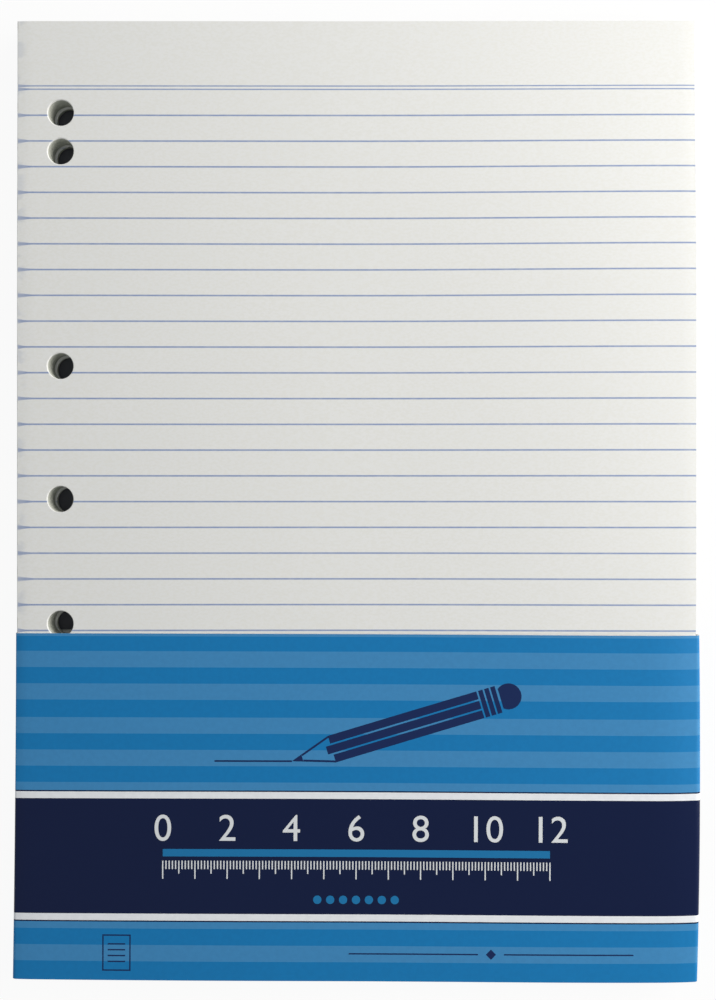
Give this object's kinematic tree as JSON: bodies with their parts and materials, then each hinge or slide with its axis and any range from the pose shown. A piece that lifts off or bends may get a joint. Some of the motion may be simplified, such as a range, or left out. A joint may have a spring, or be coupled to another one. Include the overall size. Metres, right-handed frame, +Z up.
{
  "type": "ruled writing pad",
  "caption": "A4 ruled writing pad with a drilled binder-hole margin, a greyboard back and a striped paper belly band round its lower third.",
  "frame": {"origin": "under the middle of the bounding box, on the surface that the pad lies on", "axes": "+X to the right of the page, +Y to its head, +Z up out of its front"},
  "size_m": [0.2136, 0.2978, 0.0089],
  "materials": {
    "ruled_paper": "uncoated writing paper, ruled in grey-blue",
    "greyboard": "grey recycled board",
    "padding_glue": "dried white padding adhesive",
    "band_paper": "coated paper printed in blue stripes round a navy panel",
    "lap_adhesive": "clear dried adhesive"
  },
  "bodies": {
    "root": {"leaves": "ruled_paper", "backing_board": "greyboard", "binding_glue": "padding_glue", "belly_band": "band_paper", "lap_glue": "lap_adhesive"}
  },
  "joints": []
}
